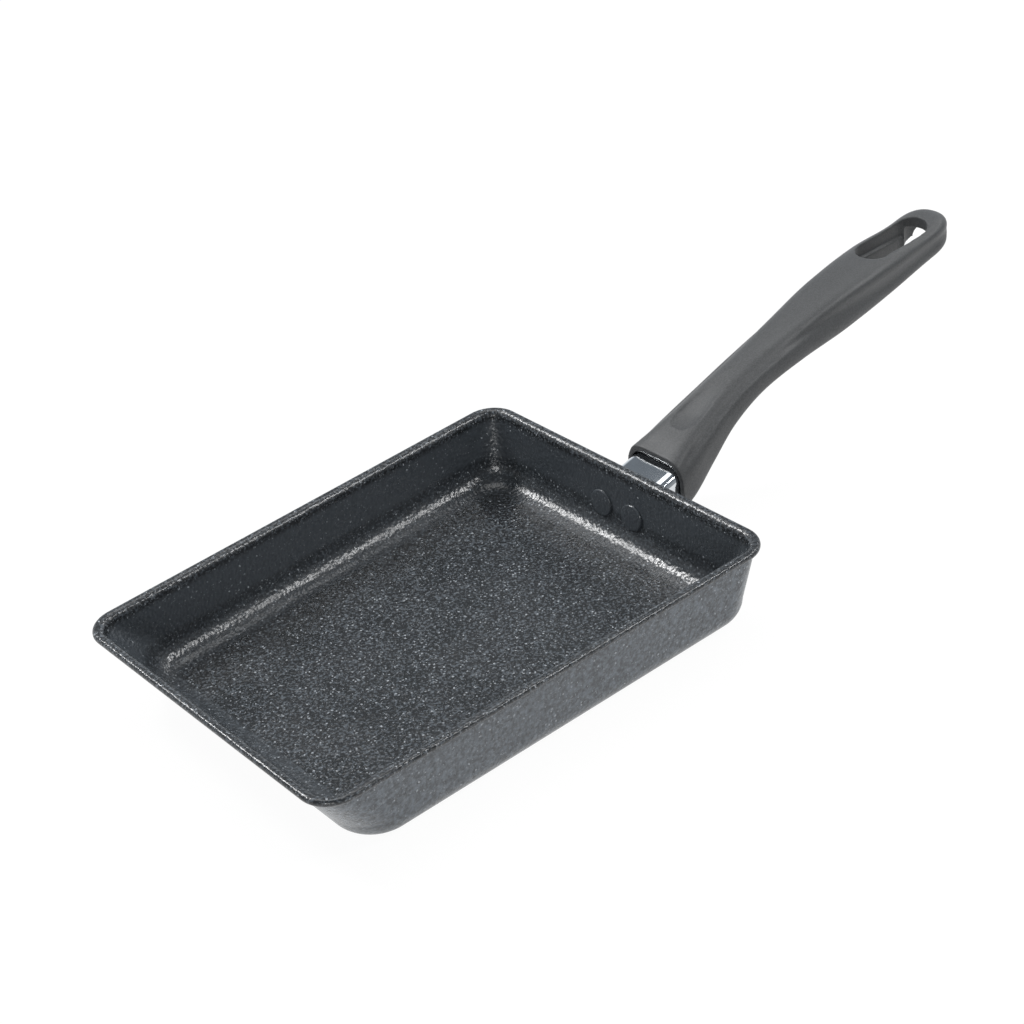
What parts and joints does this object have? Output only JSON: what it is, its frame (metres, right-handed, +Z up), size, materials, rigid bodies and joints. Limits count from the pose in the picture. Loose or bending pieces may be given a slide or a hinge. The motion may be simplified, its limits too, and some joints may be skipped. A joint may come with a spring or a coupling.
{
  "type": "tamagoyaki pan",
  "caption": "Small rectangular omelette pan with a speckled non-stick coat, rolled lip, sloped free end, chromed neck sleeve and moulded grip with a hang slot.",
  "frame": {"origin": "centre of the pan's flat underside, half way along the rim", "axes": "+X towards the grip, +Y across the pan, +Z up out of the open pan"},
  "size_m": [0.348, 0.138, 0.0631],
  "materials": {
    "speckled_coat": "charcoal non-stick coat with pale grey specks, semi-matt",
    "coated_rivet": "flat head under the same coat",
    "bracket_steel": "pressed steel, satin",
    "chrome": "bright chrome plate",
    "phenolic": "dark grey moulded phenolic, fine grain",
    "zinc_screw": "zinc plated"
  },
  "bodies": {
    "root": {"pan_body": "speckled_coat", "rivets": "coated_rivet", "handle_bracket": "bracket_steel", "neck_sleeve": "chrome", "handle": "phenolic", "handle_screw": "zinc_screw", "spring_washer": "zinc_screw", "bracket_nut": "zinc_screw"}
  },
  "joints": []
}
